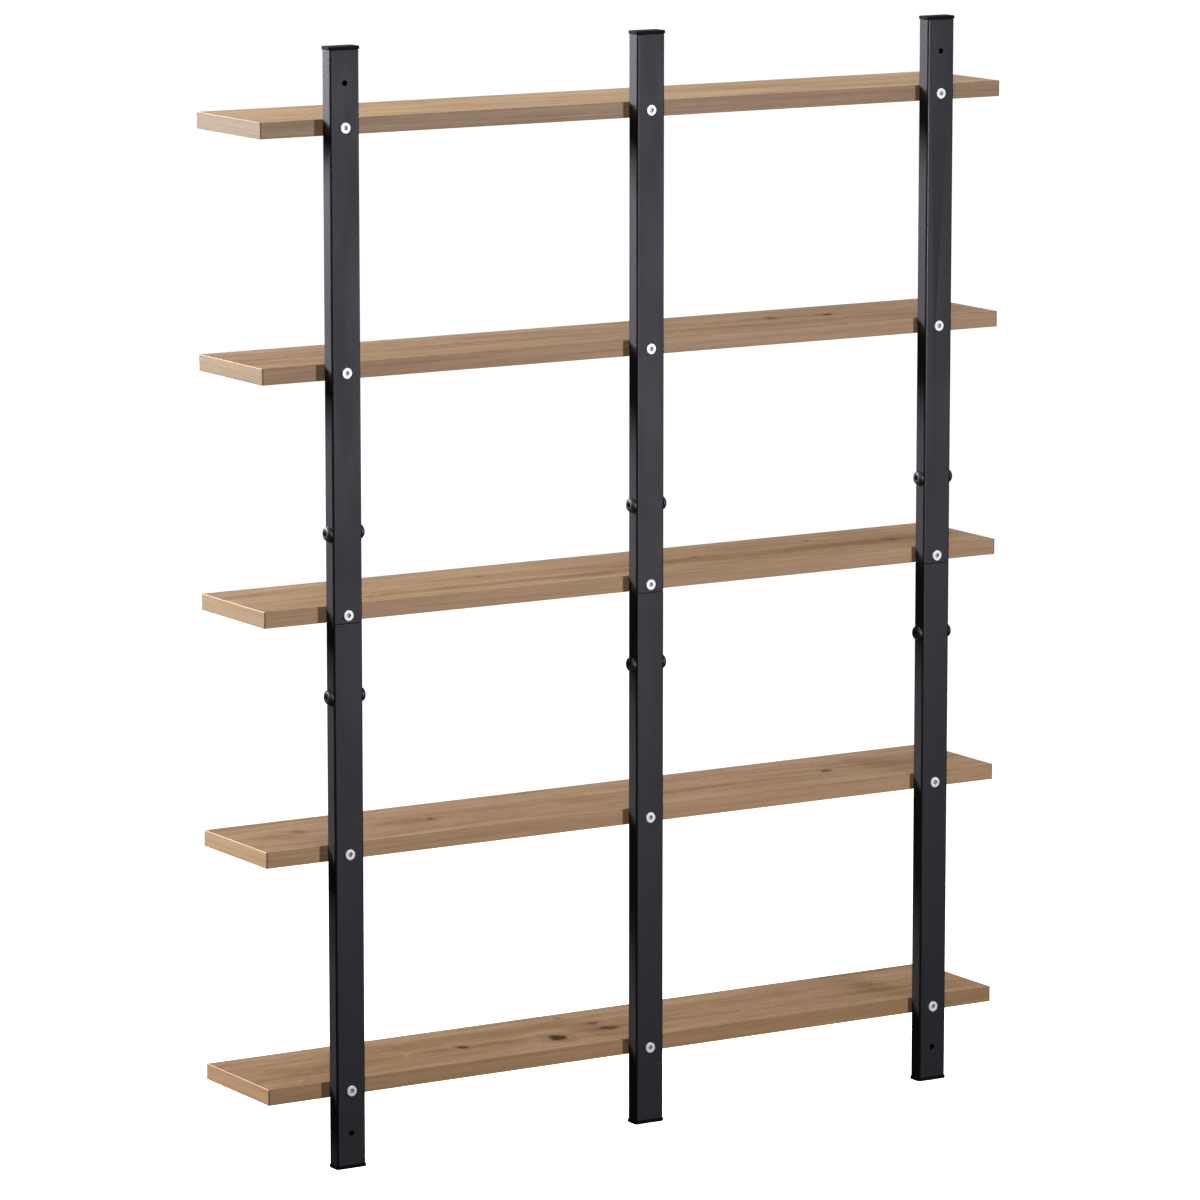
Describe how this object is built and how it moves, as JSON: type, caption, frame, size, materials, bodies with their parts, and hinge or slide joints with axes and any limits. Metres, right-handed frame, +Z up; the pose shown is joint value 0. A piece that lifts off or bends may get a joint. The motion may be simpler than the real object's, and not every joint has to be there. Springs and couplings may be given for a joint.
{
  "type": "wall shelf",
  "caption": "Open wall shelf: wood-decor boards screwed to black rectangular steel posts that fasten flat to the wall through holes near their ends.",
  "frame": {"origin": "centre of the four wall-fixing holes, on the posts' wall face, level with the third shelf's screws", "axes": "+X along the shelves, to the right as seen from the room; +Y towards the wall; +Z up"},
  "size_m": [0.8, 0.1365, 1.03],
  "materials": {
    "board_decor": "laminated chipboard with a honey-brown oak decor, satin",
    "edge_band": "edge banding with the same oak decor, satin",
    "post_paint": "black powder coat, satin",
    "cap_plastic": "moulded black plastic, satin",
    "bolt_black": "black oxide, satin",
    "screw_zinc": "bright zinc plate",
    "insert_steel": "yellow zinc plate, hidden",
    "connector_steel": "raw steel, hidden"
  },
  "bodies": {
    "root": {"bottom_cap_left": "cap_plastic", "bottom_cap_middle": "cap_plastic", "bottom_cap_right": "cap_plastic", "joint_bolts_left": "bolt_black", "joint_bolts_middle": "bolt_black", "joint_bolts_right": "bolt_black", "joint_connector_left": "connector_steel", "joint_connector_middle": "connector_steel", "joint_connector_right": "connector_steel", "lower_post_left": "post_paint", "lower_post_middle": "post_paint", "lower_post_right": "post_paint", "shelf_1_back_band": "edge_band", "shelf_1_board": "board_decor", "shelf_1_front_band": "edge_band", "shelf_1_inserts": "insert_steel", "shelf_1_left_band": "edge_band", "shelf_1_right_band": "edge_band", "shelf_2_back_band": "edge_band", "shelf_2_board": "board_decor", "shelf_2_front_band": "edge_band", "shelf_2_inserts": "insert_steel", "shelf_2_left_band": "edge_band", "shelf_2_right_band": "edge_band", "shelf_3_back_band": "edge_band", "shelf_3_board": "board_decor", "shelf_3_front_band": "edge_band", "shelf_3_inserts": "insert_steel", "shelf_3_left_band": "edge_band", "shelf_3_right_band": "edge_band", "shelf_4_back_band": "edge_band", "shelf_4_board": "board_decor", "shelf_4_front_band": "edge_band", "shelf_4_inserts": "insert_steel", "shelf_4_left_band": "edge_band", "shelf_4_right_band": "edge_band", "shelf_5_back_band": "edge_band", "shelf_5_board": "board_decor", "shelf_5_front_band": "edge_band", "shelf_5_inserts": "insert_steel", "shelf_5_left_band": "edge_band", "shelf_5_right_band": "edge_band", "shelf_screws_left": "screw_zinc", "shelf_screws_middle": "screw_zinc", "shelf_screws_right": "screw_zinc", "sleeve_nuts_left": "bolt_black", "sleeve_nuts_middle": "bolt_black", "sleeve_nuts_right": "bolt_black", "top_cap_left": "cap_plastic", "top_cap_middle": "cap_plastic", "top_cap_right": "cap_plastic", "upper_post_left": "post_paint", "upper_post_middle": "post_paint", "upper_post_right": "post_paint"}
  },
  "joints": []
}
